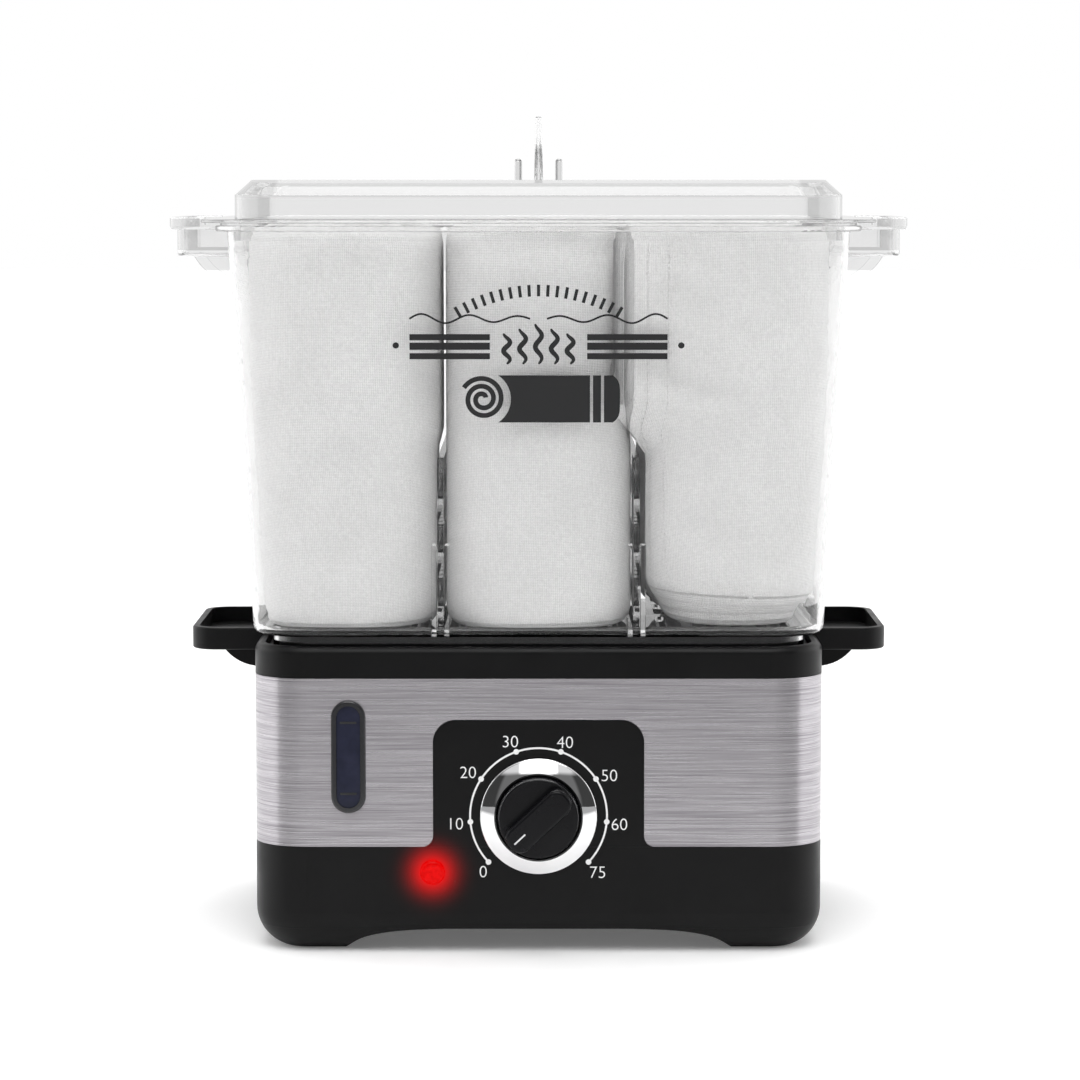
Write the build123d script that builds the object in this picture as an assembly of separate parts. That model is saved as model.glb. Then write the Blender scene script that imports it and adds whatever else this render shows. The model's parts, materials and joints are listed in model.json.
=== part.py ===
from build123d import *
import math
import os

# Bench-top hot towel steamer: a heated base, a lift-off drip tray and a clear
# chamber with a lid, which holds three rolled towels between two dividers.
# Millimetres. Origin at the centre of the footprint, on the bench. +Z is up and
# the front, with the timer knob, faces -Y. The heights below are measured from a
# level that is DATUM above the bench, and save() puts each piece at its real height.

# ---------------------------------------------------------------- driving sizes
BASE_W, BASE_D, BASE_R = 275.0, 205.0, 26.0  # plan of the base and its corners
DATUM = 4.5  # height above the bench of the level that the heights are measured from
BASE_TOP = 129.0  # top of the housing, where the drip tray sits
WALL = 2.6  # moulded wall of the housing
FOOT_H = 7.0  # underside of the housing between the feet
SOLE_Z = 0.4 - DATUM  # the moulded feet stop just above the bench, on their pads
BELLY_R = 20.0  # rounding under the housing
SHEET = 0.8  # steel band
BAND_BOTTOM = 47.3
PANEL_W, PANEL_TOP, PANEL_R = 101.5, 109.0, 11.0  # window in the band for the panel
FLARE_R = 5.5  # rounding of the band's lower corners beside the panel
GAP = 0.35  # between the band and the pieces set in it
SEAM = 0.04  # between the mouldings of the base

TUB_W, TUB_D, TUB_R, TUB_Y = 250.0, 150.0, 20.0, 16.0  # water tub, behind the timer
TUB_FLOOR, TUB_WALL = 60.0, 2.4
FLANGE_T = 2.5

KNOB_Z = 62.4
KNOB_R, KNOB_FACE_R, RING_IN, RING_OUT = 20.2, 18.9, 20.6, 28.2
DIAL_R, DIAL_ZERO, DIAL_STEP, DIAL_COUNT = 32.9, 223.0, -38.0, 8
SHAFT_R, SHAFT_FIT = 3.0, 0.06
LAMP_X, LAMP_Z, LAMP_R = -51.0, 35.0, 6.0
GAUGE_X, GAUGE_Z, GAUGE_W, GAUGE_H = -91.3, 91.0, 16.5, 54.4
CORD_X, CORD_Z, CORD_R, CORD_L = 92.0, 30.0, 3.5, 13.0

COLLAR_TOP = 144.0  # top of the drip tray's outer wall
LEDGE_Z = 139.6  # ledge on which the chamber's foot stands
INNER_TOP = 147.8  # top of the wall inside the chamber's foot
TRAY_HANDLE_X, TRAY_HANDLE_Y, TRAY_HANDLE_Z = 171.5, 48.0, (136.0, 147.0)

CLEAR = 2.6  # moulded wall of the chamber
CH_Z0, CH_Z1 = 148.5, 342.3  # chamber body
CH_W0, CH_D0, CH_R0 = 276.0, 206.0, 26.0  # at its foot
CH_W1, CH_D1, CH_R1 = 298.0, 228.0, 30.0  # at its mouth
CH_FLOOR = 2.5
RIM_Z, RIM_OUT = 345.0, 5.5  # top and overhang of the rim
CH_HANDLE_X, CH_HANDLE_Y, CH_HANDLE_Z = 177.2, 50.0, (329.5, 348.6)
LIP_Z, LIP_OUT = 342.6, 3.6

LID_W, LID_D, LID_R = 290.6, 220.6, 27.0
LID_T = 2.4
LID_SKIRT, LID_SEAT = 338.0, 345.1
LID_FLANGE_Z, LID_FLANGE_OUT = (346.4, 348.2), 16.2
LID_EDGE, LID_TOP, LID_BEVEL = 359.5, 366.7, 8.0
FIN_TOP, RIDGE_TOP, RIDGE_X = 397.5, 377.0, 10.0

DIVIDER_X, DIVIDER_T, DIVIDER_TOP = 47.0, 3.0, 234.0
POST_T, POST_DEPTH, POST_TOP, POST_GAP = 2.3, 9.0, 193.0, 0.4

TOWEL_Z = (151.6, 346.0)
TOWEL_SIDE, TOWEL_FRONT, TOWEL_BACK = 1.0, 5.0, 40.0  # clear beside, clear in front, rear Y
TOWEL_HALF, TOWEL_REACH = 139.8, 102.6  # at the top the rolls stay inside the lid's skirt


# ---------------------------------------------------------------- helpers
def slab(width, depth, radius, low, high, x=0, y=0):
    """An upright plate or block with rounded corners."""
    return extrude(Pos(x, y, low) * RectangleRounded(width, depth, radius), high - low)


def tube(width, depth, radius, wall, low, high, y=0):
    """An upright wall round a rounded rectangle, measured over its outside."""
    inner = slab(width - 2 * wall, depth - 2 * wall, radius - wall, low, high, y=y)
    return slab(width, depth, radius, low, high, y=y) - inner


def disc(radius, low, high, x=0, y=0):
    return extrude(Pos(x, y, low) * Circle(radius), high - low)


def facing(x, y, z):
    """A plane at a point of the front, drawn as seen from the front."""
    return Plane(origin=(x, y, z), x_dir=(1, 0, 0), z_dir=(0, -1, 0))


def toward_front(sketch, x, y, z, length):
    """A sketch pushed out of the front by length, from y."""
    return extrude(facing(x, y, z) * sketch, length)


def chamber_size(z):
    """Outer width, depth and corner radius of the tapered chamber at a height."""
    t = (z - CH_Z0) / (CH_Z1 - CH_Z0)
    return (
        CH_W0 + (CH_W1 - CH_W0) * t,
        CH_D0 + (CH_D1 - CH_D0) * t,
        CH_R0 + (CH_R1 - CH_R0) * t,
    )


def tapered(low, high, inset):
    """The chamber's tapered block between two heights, set in by inset."""
    ends = []
    for z in (low, high):
        width, depth, radius = chamber_size(z)
        plan = RectangleRounded(width - 2 * inset, depth - 2 * inset, radius - inset)
        ends.append(Pos(0, 0, z) * plan)
    return loft(ends)


def save(shape, name):
    export_step(Pos(0, 0, DATUM) * shape, "parts/" + name + ".step")


FRONT = -BASE_D / 2  # outer face of the steel band at the front
SKIN = FRONT + SHEET + 0.1  # outer face of the housing behind the band
INSIDE = SKIN + WALL  # inner face of the housing's front wall


# ---------------------------------------------------------------- base shell
def belly(inset, low):
    """The lower part of the base, rounded underneath, set in by inset."""
    block = slab(BASE_W - 2 * inset, BASE_D - 2 * inset, BASE_R - inset, low, BAND_BOTTOM)
    return fillet(block.faces().sort_by(Axis.Z)[0].edges(), BELLY_R - inset)


def arches():
    """Two tunnels across the underside, soft at their corners, which leave four feet."""
    across = [(97, -7.2), (93.6, SOLE_Z), (87.5, 0.8), (77, 4.4), (61, 6.4), (45, FOOT_H)]
    along = [(61, -7.2), (58.6, SOLE_Z), (54.5, 1), (51, 5), (49, FOOT_H)]
    cuts = []
    for side, plane, length in ((across, Plane.XZ, BASE_D), (along, Plane.YZ, BASE_W)):
        (low_x, low_z), (high_x, high_z) = side[0], side[-1]
        middle = [Line((high_x, high_z), (0, high_z)), Line((0, high_z), (0, low_z))]
        half = make_face([Spline(*side)] + middle + [Line((0, low_z), (low_x, low_z))])
        cuts.append(extrude(plane * (half + mirror(half, Plane.YZ)), length, both=True))
    return cuts


def panel_outline(inset):
    """The control panel: rounded above, flared where it meets the lower housing."""
    half, top, radius, flare = PANEL_W / 2 - inset, PANEL_TOP - inset, PANEL_R - inset, FLARE_R + inset
    low = BAND_BOTTOM - inset
    turn = math.sqrt(0.5)
    right = [
        Line((0, low - 6), (half + flare, low - 6)),
        Line((half + flare, low - 6), (half + flare, low)),
        ThreePointArc(
            (half + flare, low),
            (half + flare - flare * turn, low + flare - flare * turn),
            (half, low + flare),
        ),
        Line((half, low + flare), (half, top - radius)),
        ThreePointArc(
            (half, top - radius),
            (half - radius + radius * turn, top - radius + radius * turn),
            (half - radius, top),
        ),
        Line((half - radius, top), (0, top)),
    ]
    half_face = make_face(right + [Line((0, top), (0, low - 6))])
    return half_face + mirror(half_face, Plane.YZ)


def gauge_outline(inset):
    return RectangleRounded(
        GAUGE_W - 2 * inset, GAUGE_H - 2 * inset, GAUGE_W / 2 - inset - 0.01
    )


def base_shell():
    """The black mouldings as one: feet, walls, control panel and a ledge for the tub."""
    inset = SHEET + 0.1
    shell = belly(0, SOLE_Z - 1) + slab(
        BASE_W - 2 * inset, BASE_D - 2 * inset, BASE_R - inset, BAND_BOTTOM, BASE_TOP
    )
    shell += toward_front(panel_outline(GAP), 0, SKIN, 0, SKIN - FRONT)
    inner = inset + WALL
    hollow = belly(WALL + 0.9, 9.6) + slab(
        BASE_W - 2 * inner, BASE_D - 2 * inner, BASE_R - inner, BAND_BOTTOM, 120
    )
    hollow += slab(BASE_W - 15, BASE_D - 15, BASE_R - 7.5, 120, BASE_TOP - FLANGE_T)
    hollow += slab(BASE_W - 6.4, BASE_D - 6.4, BASE_R - 3.2, BASE_TOP - FLANGE_T, BASE_TOP)
    shell -= hollow
    shell -= arches()
    shell -= slab(160.6, 92.6, 8, -9, 12)
    shell -= slab(172.6, 104.6, 10, -9, FOOT_H + 2.2)
    shell += [disc(4, 9.4, 22, x, y) for x, y in cover_screws()]
    shell -= [disc(1.5, 0, 20, x, y) for x, y in cover_screws()]
    shell -= toward_front(Circle(4.7), 0, INSIDE + 1, KNOB_Z, 12)
    shell -= toward_front(Circle(4.6), LAMP_X, INSIDE + 1, LAMP_Z, 12)
    shell -= toward_front(gauge_outline(1.2), GAUGE_X, INSIDE + 1, GAUGE_Z, 12)
    shell -= toward_front(Circle(6.1), CORD_X, BASE_D / 2 + 1, CORD_Z, 10)
    return shell


def cover_screws():
    return [(x, y) for x in (-80, 0, 80) for y in (-47.5, 47.5)]


def bottom_cover():
    """The plate that closes the underside, with three rows of cooling slots."""
    plate = slab(172, 104, 9.7, FOOT_H + 0.1, FOOT_H + 2.1)
    slots = [
        slab(4, 26, 1.9, 0, 12, x=x, y=y) for x in range(-54, 55, 12) for y in (-31, 0, 31)
    ]
    plate -= slots
    plate -= [disc(1.8, 0, 12, x, y) for x, y in cover_screws()]
    return plate


def bottom_screws():
    """Pan-head screws that hold the bottom cover."""
    screws = []
    for x, y in cover_screws():
        head = fillet(disc(2.9, 5.3, 7.1, x, y).edges().sort_by(Axis.Z)[0], 0.8)
        head -= Pos(x, y, 5.5) * Box(3.4, 0.7, 0.9) + Pos(x, y, 5.5) * Box(0.7, 3.4, 0.9)
        screws.append(head + disc(1.45, 7.1, 17, x, y))
    return Compound(children=screws)


def foot_pads():
    """A rubber pad let into each moulded foot."""
    pads = [
        fillet(disc(8.5, -DATUM, 3.5 - DATUM, x, y).edges().sort_by(Axis.Z)[0], 0.6)
        for x in (-104, 104)
        for y in (-74, 74)
    ]
    return Compound(children=pads)


def pad_pockets():
    """The pads' seats in the feet, and the space under the feet's soles."""
    pockets = [disc(8.6, -9, 3.6 - DATUM, x, y) for x in (-104, 104) for y in (-74, 74)]
    return pockets + [slab(300, 300, 5, -9, SOLE_Z)]


def base_mouldings():
    """The shell as it is moulded: four feet, the lower pan and the upper frame."""
    shell = base_shell() - pad_pockets()
    feet = shell & slab(300, 300, 5, -9, FOOT_H - SEAM)
    pan = shell & slab(300, 300, 5, FOOT_H, BAND_BOTTOM - SEAM)
    return feet, pan, shell & slab(300, 300, 5, BAND_BOTTOM, BASE_TOP + 5)


def steel_band():
    """The brushed sheet round the base, cut out for the panel and the water gauge."""
    band = tube(BASE_W, BASE_D, BASE_R, SHEET, BAND_BOTTOM + 0.1, BASE_TOP - 0.2)
    band -= toward_front(panel_outline(0), 0, FRONT + 4, 0, 8)
    band -= toward_front(gauge_outline(-0.1), GAUGE_X, FRONT + 4, GAUGE_Z, 8)
    return band


# ---------------------------------------------------------------- water gauge
def gauge_bezel():
    """The black oval frame of the water gauge."""
    frame = toward_front(gauge_outline(0), GAUGE_X, FRONT + 0.8, GAUGE_Z, 2.4)
    frame = fillet(frame.faces().sort_by(Axis.Y)[0].edges(), 0.9)
    frame += toward_front(gauge_outline(1.4), GAUGE_X, FRONT + 4.2, GAUGE_Z, 3.6)
    return frame - toward_front(gauge_outline(2.5), GAUGE_X, FRONT + 6, GAUGE_Z, 12)


def gauge_lens():
    """The smoked window, a little below the face of its frame."""
    return toward_front(gauge_outline(2.6), GAUGE_X, FRONT + 4.2, GAUGE_Z, 4.9)


def level_marks():
    """The upper and lower water level lines on the window."""
    lines = [
        toward_front(Rectangle(8, 1.1), GAUGE_X, FRONT - 0.7, z, 0.15) for z in (73.2, 107.6)
    ]
    return Compound(children=lines)


def level_tube():
    """A clear sight tube behind the window, fed from the foot of the tub."""
    y = FRONT + 12
    tub_face = TUB_Y - TUB_D / 2 - TUB_WALL
    rise = disc(5, 64, 119, GAUGE_X, y)
    feed = extrude(Plane(origin=(GAUGE_X, y, 70), z_dir=(0, 1, 0)) * Circle(4), tub_face - 0.2 - y)
    bore = disc(3.6, 66, 121, GAUGE_X, y)
    duct = extrude(Plane(origin=(GAUGE_X, y, 70), z_dir=(0, 1, 0)) * Circle(2.6), 80)
    return rise + feed - bore - duct


# ---------------------------------------------------------------- tub and heater
def water_tub():
    """The water tub, hung by its flange from the housing's ledge."""
    flange = slab(
        BASE_W - 7, BASE_D - 7, BASE_R - 3.5, BASE_TOP - FLANGE_T + 0.1, BASE_TOP - 0.1
    )
    outer = slab(
        TUB_W + 2 * TUB_WALL,
        TUB_D + 2 * TUB_WALL,
        TUB_R + TUB_WALL,
        TUB_FLOOR,
        BASE_TOP - FLANGE_T + 0.2,
        y=TUB_Y,
    )
    outer = fillet(outer.faces().sort_by(Axis.Z)[0].edges(), 6)
    inner = slab(TUB_W, TUB_D, TUB_R, TUB_FLOOR + TUB_WALL, BASE_TOP, y=TUB_Y)
    inner = fillet(inner.faces().sort_by(Axis.Z)[0].edges(), 4)
    return flange + outer - inner - disc(44, 50, 70, y=TUB_Y)


def heater_gasket():
    """Silicone ring that seals the heater plate to the tub."""
    low = TUB_FLOOR + TUB_WALL
    return disc(50, low, low + 1.5, y=TUB_Y) - disc(44.5, low - 1, low + 3, y=TUB_Y)


def heater_plate():
    """The metal plate that boils the water, with a boss down through the tub."""
    low = TUB_FLOOR + TUB_WALL + 1.5
    plate = fillet(disc(51, low, low + 2, y=TUB_Y).edges().sort_by(Axis.Z)[-1], 0.8)
    boss = disc(43, 56, low, y=TUB_Y)
    holes = [disc(1.6, 55, 62, x, TUB_Y) for x in (-39, 39)]
    return plate + boss - holes


def heating_element():
    """A tubular element in an open ring under the plate, with two cold ends."""
    centre = Pos(0, TUB_Y, 51.9)
    ring = centre * revolve(Plane.XZ * Pos(30, 0) * Circle(4), Axis.Z, 320)
    for angle in (0, 320):
        x, y = 30 * math.cos(math.radians(angle)), 30 * math.sin(math.radians(angle))
        ring += disc(3, 36, 52, x, TUB_Y + y)
    return ring


def heater_clamp():
    """The bar that holds the element and the thermostat against the plate."""
    bar = slab(92, 14, 6, 45.8, 47.8, y=TUB_Y)
    bar -= [disc(1.8, 40, 50, x, TUB_Y) for x in (-39, 39)]
    return bar - disc(5, 40, 50, 30, TUB_Y)


def heater_screws():
    """The two screws of the heater clamp."""
    screws = [
        disc(3.4, 43.4, 45.8, x, TUB_Y) + disc(1.5, 45.8, 61.5, x, TUB_Y) for x in (-39, 39)
    ]
    return Compound(children=screws)


def thermostat():
    """A bimetal disc thermostat, pressed on the plate by the clamp."""
    body = disc(9, 47.9, 55.9, y=TUB_Y)
    tabs = [Pos(x, TUB_Y + 12, 51) * Box(5, 8, 0.8) for x in (-5, 5)]
    return body + tabs


def thermal_fuse():
    """A one-shot fuse in its sleeve, beside the element."""
    lie = Plane(origin=(-12, TUB_Y - 38.5, 53.8), z_dir=(1, 0, 0))
    return extrude(lie * Circle(2.1), 24)


# ---------------------------------------------------------------- timer and knob
def timer_body():
    """The clockwork timer behind the panel, with a neck through the panel."""
    case = Pos(0, INSIDE + 13.1, KNOB_Z) * Box(44, 26, 44)
    case = fillet(case.edges().filter_by(Axis.Y), 3)
    neck = toward_front(Circle(4.5), 0, INSIDE + 1, KNOB_Z, 6.6)
    bore = toward_front(Circle(SHAFT_R + SHAFT_FIT), 0, INSIDE + 14, KNOB_Z, 30)
    return case + neck - bore


def timer_nut():
    """The nut that clamps the timer to the panel, hidden by the knob."""
    nut = toward_front(RegularPolygon(7, 6), 0, FRONT, KNOB_Z, 1.8)
    return nut - toward_front(Circle(4.55), 0, FRONT + 4, KNOB_Z, 12)


def timer_bell():
    """The bell that the timer strikes at zero."""
    y = INSIDE + 26.2 + 6.5
    cup = fillet(toward_front(Circle(11), 0, y, KNOB_Z, 6.4).faces().sort_by(Axis.Y)[-1].edges(), 3)
    return cup - toward_front(Circle(9.6), 0, y - 1.6, KNOB_Z, 9)


def timer_shaft():
    """The timer's D-shaped shaft, which turns with the knob."""
    shaft = toward_front(Circle(SHAFT_R), 0, INSIDE + 12, KNOB_Z, 25)
    return shaft - Pos(0, FRONT - 8.5, KNOB_Z + 3.4) * Box(8, 7.5, 2)


def timer_knob():
    """The black knob: a round skirt with a raised diagonal grip that points at zero."""
    wide = facing(0, FRONT - 2.6, KNOB_Z) * Circle(KNOB_R)
    skirt = loft([wide, facing(0, FRONT - 10, KNOB_Z) * Circle(KNOB_FACE_R)])
    skirt = fillet(skirt.faces().sort_by(Axis.Y)[0].edges(), 0.7)
    grip = RectangleRounded(KNOB_FACE_R * 2 - 0.8, 13.5, 6)
    grip = toward_front(Rot(0, 0, DIAL_ZERO) * grip, 0, FRONT - 9, KNOB_Z, 9.5)
    grip = fillet(grip.faces().sort_by(Axis.Y)[0].edges(), 1.6)
    groove = Rot(0, 0, DIAL_ZERO) * Pos(12.2, 0) * Rectangle(7.2, 0.9)
    knob = skirt + grip - toward_front(groove, 0, FRONT - 18.1, KNOB_Z, 2)
    knob -= toward_front(Circle(KNOB_R - 3), 0, FRONT - 2, KNOB_Z, 4.6)
    knob += toward_front(Circle(6), 0, FRONT - 3.2, KNOB_Z, 5)
    return knob - toward_front(Circle(SHAFT_R), 0, FRONT - 2, KNOB_Z, 12.8)


def knob_pointer():
    """The white line let into the pointing end of the grip."""
    bar = Rot(0, 0, DIAL_ZERO) * Pos(12.2, 0) * Rectangle(7, 0.7)
    return toward_front(bar, 0, FRONT - 18.1, KNOB_Z, 0.5)


def knob_ring():
    """The chromed bezel round the knob: a shallow, slightly crowned cone with soft edges."""
    shoulder, crest, top = (RING_OUT - 0.8, 2.4), (RING_IN + 3.8, 4.0), (RING_IN + 0.7, 5.3)
    edge = [
        Line((RING_IN, 0), (RING_OUT, 0)),
        Line((RING_OUT, 0), (RING_OUT, 1.5)),
        ThreePointArc((RING_OUT, 1.5), (RING_OUT - 0.25, 2.08), shoulder),
        ThreePointArc(shoulder, crest, top),
        Line(top, (RING_IN, 5.0)),
        Line((RING_IN, 5.0), (RING_IN, 0)),
    ]
    profile = make_face(edge)
    ring = revolve(Plane.XZ * profile, Axis.Z)
    return Pos(0, FRONT, KNOB_Z) * Rot(90, 0, 0) * ring


def dial_scale():
    """The printed arc with a dot at each of the eight settings."""
    sweep = (DIAL_COUNT - 1) * DIAL_STEP
    arc = Circle(DIAL_R + 0.45) - Circle(DIAL_R - 0.45)
    start, end = math.radians(DIAL_ZERO), math.radians(DIAL_ZERO + sweep)
    below = Polygon(
        (0, 0),
        (90 * math.cos(start), 90 * math.sin(start)),
        (0, -90),
        (90 * math.cos(end), 90 * math.sin(end)),
        align=None,
    )
    arc -= below
    for i in range(DIAL_COUNT):
        angle = math.radians(DIAL_ZERO + i * DIAL_STEP)
        arc += Pos(DIAL_R * math.cos(angle), DIAL_R * math.sin(angle)) * Circle(1.35)
    return toward_front(arc, 0, FRONT, KNOB_Z, 0.15)


# ---------------------------------------------------------------- lamp and supply
def lamp_lens():
    """The red lens of the power lamp."""
    dome = fillet(
        toward_front(Circle(LAMP_R), LAMP_X, FRONT, LAMP_Z, 2.6).faces().sort_by(Axis.Y)[0].edges(), 2
    )
    return dome + toward_front(Circle(4.4), LAMP_X, INSIDE + 1.5, LAMP_Z, INSIDE + 1.5 - FRONT)


def lamp_holder():
    """The neon lamp and its clip behind the lens."""
    return toward_front(Circle(4.2), LAMP_X, INSIDE + 22, LAMP_Z, 20) + toward_front(
        Circle(6.5), LAMP_X, INSIDE + 4, LAMP_Z, 2
    )


def terminal_block():
    """The block where the mains cord meets the inner wires."""
    block = Pos(60, 30, 21) * Box(16, 34, 12)
    block -= [Pos(60, y, 25) * Box(20, 7, 5) for y in (20, 30, 40)]
    return block


def wire(points, radius):
    """A round wire along straight runs joined by arcs."""
    path = FilletPolyline(*points, radius=radius)
    section = Plane(origin=path @ 0, z_dir=path % 0) * Circle(1.2)
    return sweep(section, path)


def inner_wires():
    """Three insulated wires from the terminal block."""
    routes = [
        [(51.6, 21, 24), (38, 21, 24), (38, -40, 30), (10, -66, 30), (10, -66, 39)],
        [(51.6, 30, 20), (22, 30, 20), (22, 36, 34), (-5, 40, 34), (-5, 40, 49)],
        [(68.4, 20, 22), (80, 20, 22), (80, -40, 30), (16, -66, 30), (16, -66, 39)],
    ]
    return Compound(children=[wire(points, 6) for points in routes])


def cord_gland():
    """The grommet through which the mains cord enters at the rear."""
    y = BASE_D / 2
    flange = toward_front(Circle(9), CORD_X, y + 3.4, CORD_Z, 3.2)
    flange = fillet(flange.faces().sort_by(Axis.Y)[-1].edges(), 1.4)
    neck = toward_front(Circle(5.9), CORD_X, y + 3, CORD_Z, CORD_L - 0.6)
    return flange + neck - toward_front(Circle(CORD_R), CORD_X, y + 4, CORD_Z, CORD_L + 4)


# ---------------------------------------------------------------- drip tray
def handle_plan(reach, half, radius):
    """Plan of a side handle, which reaches from inside the wall to reach in X."""
    return Pos(reach / 2, 0) * RectangleRounded(reach, 2 * half, radius)


def on_both_sides(shape):
    return shape + mirror(shape, Plane.YZ)


def gusset(inner_x, outer_x, top, bottom, half):
    """The bowl-shaped web under a handle, full where it meets the wall."""
    bulge = (inner_x + 0.62 * (outer_x - inner_x), bottom + 0.34 * (top - bottom))
    edge = [
        Line((inner_x - 6, top), (outer_x, top)),
        ThreePointArc((outer_x, top), bulge, (inner_x, bottom)),
        Line((inner_x, bottom), (inner_x - 6, bottom)),
        Line((inner_x - 6, bottom), (inner_x - 6, top)),
    ]
    return extrude(Plane.XZ * make_face(edge), half, both=True)


def tray_handle():
    """One side handle: a shallow tray with a raised rim and a web underneath."""
    low, high = TRAY_HANDLE_Z
    body = extrude(Pos(0, 0, low) * handle_plan(TRAY_HANDLE_X, TRAY_HANDLE_Y, 13), high - low)
    body = fillet(body.faces().sort_by(Axis.Z)[-1].edges(), 1)
    body = fillet(body.faces().sort_by(Axis.Z)[0].edges(), 1)
    recess = handle_plan(TRAY_HANDLE_X - 3.4, TRAY_HANDLE_Y - 3.4, 9.6)
    body -= extrude(Pos(0, 0, 139.4) * recess, 20)
    web = gusset(138.4, 156, low + 0.5, 127, 40)
    web -= slab(BASE_W + 1.2, BASE_D + 1.2, BASE_R + 0.6, 120, BASE_TOP + 0.3)
    return body + web


def drip_tray():
    """The black tray between base and chamber, with its steam opening."""
    ring = slab(BASE_W, BASE_D, BASE_R, BASE_TOP + 0.1, COLLAR_TOP)
    ring = fillet(ring.faces().sort_by(Axis.Z)[-1].edges(), 3.5)
    tray = ring + on_both_sides(tray_handle())
    tray -= slab(BASE_W - 10, BASE_D - 10, BASE_R - 5, LEDGE_Z, 160)
    tray += tube(BASE_W - 23, BASE_D - 23, 18, 2.4, LEDGE_Z - 1, INNER_TOP)
    tray -= slab(BASE_W - 28, BASE_D - 28, 15.6, 133.5, 160)
    tray += slab(160, 84, 20, 133, 141)
    tray += tube(TUB_W - 1.4, TUB_D - 1.4, TUB_R - 0.7, 2.2, 122, BASE_TOP + 0.6, y=TUB_Y)
    openings = [
        slab(9, 70, 4.4, 120, 150, x=x) for x in range(-66, 67, 12)
    ]
    return tray - openings


# ---------------------------------------------------------------- chamber
def chamber_handle():
    """One clear side handle: an open tray under a turned-out lip."""
    low, high = CH_HANDLE_Z
    body = extrude(Pos(0, 0, low) * handle_plan(CH_HANDLE_X, CH_HANDLE_Y, 12), high - low)
    body = fillet(body.faces().sort_by(Axis.Z)[0].edges(), 1.5)
    lip = handle_plan(CH_HANDLE_X + LIP_OUT, CH_HANDLE_Y + LIP_OUT, 15)
    lip = extrude(Pos(0, 0, LIP_Z) * lip, high - LIP_Z)
    lip = fillet(lip.faces().sort_by(Axis.Z)[0].edges(), 1.6)
    lip = fillet(lip.faces().sort_by(Axis.Z)[-1].edges(), 0.7)
    body += lip
    pocket = handle_plan(CH_HANDLE_X - CLEAR, CH_HANDLE_Y - CLEAR, 12 - CLEAR)
    body -= extrude(Pos(0, 0, low + 3) * pocket, 40)
    for side in (-1, 1):
        body += Pos(0, side * 30, 0) * gusset(CH_W1 / 2 - 2, 170, low + 0.5, 315, 1.4)
    width, depth = LID_W + 2 * LID_FLANGE_OUT, LID_D + 2 * LID_FLANGE_OUT
    return body - slab(width + 2, depth + 2, LID_R + LID_FLANGE_OUT, RIM_Z, 360)


def posts():
    """Pairs of upright ribs on the front and rear walls, which guide the dividers."""
    ribs = []
    pitch = DIVIDER_T / 2 + POST_GAP + POST_T / 2
    for x in (-DIVIDER_X - pitch, -DIVIDER_X + pitch, DIVIDER_X - pitch, DIVIDER_X + pitch):
        for side in (-1, 1):
            y = side * (chamber_size(POST_TOP)[1] / 2 - CLEAR - POST_DEPTH / 2)
            foot = CH_Z0 + 1
            rib = Pos(x, y, (foot + POST_TOP) / 2) * Box(POST_T, POST_DEPTH + 4, POST_TOP - foot)
            ribs.append(rib)
    solid = ribs[0]
    for rib in ribs[1:]:
        solid += rib
    return solid & tapered(CH_Z0, CH_Z1, 0.8)


def floor_slots():
    """Slots that let the steam up, in three bands across the chamber's floor."""
    slots = []
    for x in range(-120, 121, 12):
        for y in (-56, 0, 56):
            if abs(abs(x) - DIVIDER_X) > 5:
                slots.append(slab(5, 44, 2.4, CH_Z0 - 2, CH_Z0 + 6, x=x, y=y))
    return slots


def chamber():
    """The clear box: tapered walls, slotted floor, foot ring, rim and two handles."""
    body = tapered(CH_Z0, CH_Z1, 0)
    body = fillet(body.faces().sort_by(Axis.Z)[0].edges(), 4.5)
    width, depth, radius = chamber_size(CH_Z1)
    rim = slab(width + 2 * RIM_OUT, depth + 2 * RIM_OUT, radius + RIM_OUT, CH_Z1, RIM_Z)
    rim = fillet(rim.faces().sort_by(Axis.Z)[0].edges(), 1)
    rim = fillet(rim.faces().sort_by(Axis.Z)[-1].edges(), 0.6)
    hollow = tapered(CH_Z0 + CH_FLOOR, RIM_Z + 1, CLEAR)
    hollow = fillet(hollow.faces().sort_by(Axis.Z)[0].edges(), 3)
    box = body + rim + on_both_sides(chamber_handle()) - hollow
    box += tube(BASE_W - 17, BASE_D - 17, 21, 2.4, LEDGE_Z + 0.2, CH_Z0 + 0.6)
    return box + posts() - floor_slots()


def divider(x):
    """A clear plate with windows, which drops between its pairs of ribs."""
    low = CH_Z0 + CH_FLOOR + 0.4
    height = DIVIDER_TOP - low
    plate = RectangleRounded(190, height, 9)
    windows = [
        Pos(y, v) * RectangleRounded(22, 14, 4) for y in range(-70, 71, 28) for v in (-24, 2, 28)
    ]
    plate -= windows
    side = Plane(origin=(x - DIVIDER_T / 2, 0, low + height / 2), x_dir=(0, 1, 0), z_dir=(1, 0, 0))
    return extrude(side * plate, DIVIDER_T)


# ---------------------------------------------------------------- lid
def dome(inset, low):
    """The lid's bevelled cap above a height, set in by inset."""
    width, depth, radius = LID_W - 2 * inset, LID_D - 2 * inset, LID_R - inset
    edge, top = LID_EDGE - inset * 0.41, LID_TOP - inset
    side = slab(width, depth, radius, low, edge)
    bevel = loft(
        [
            Pos(0, 0, edge) * RectangleRounded(width, depth, radius),
            Pos(0, 0, top)
            * RectangleRounded(
                width - 2 * LID_BEVEL + 1.2 * inset,
                depth - 2 * LID_BEVEL + 1.2 * inset,
                radius - LID_BEVEL + 0.6 * inset,
            ),
        ]
    )
    return side + bevel


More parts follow.
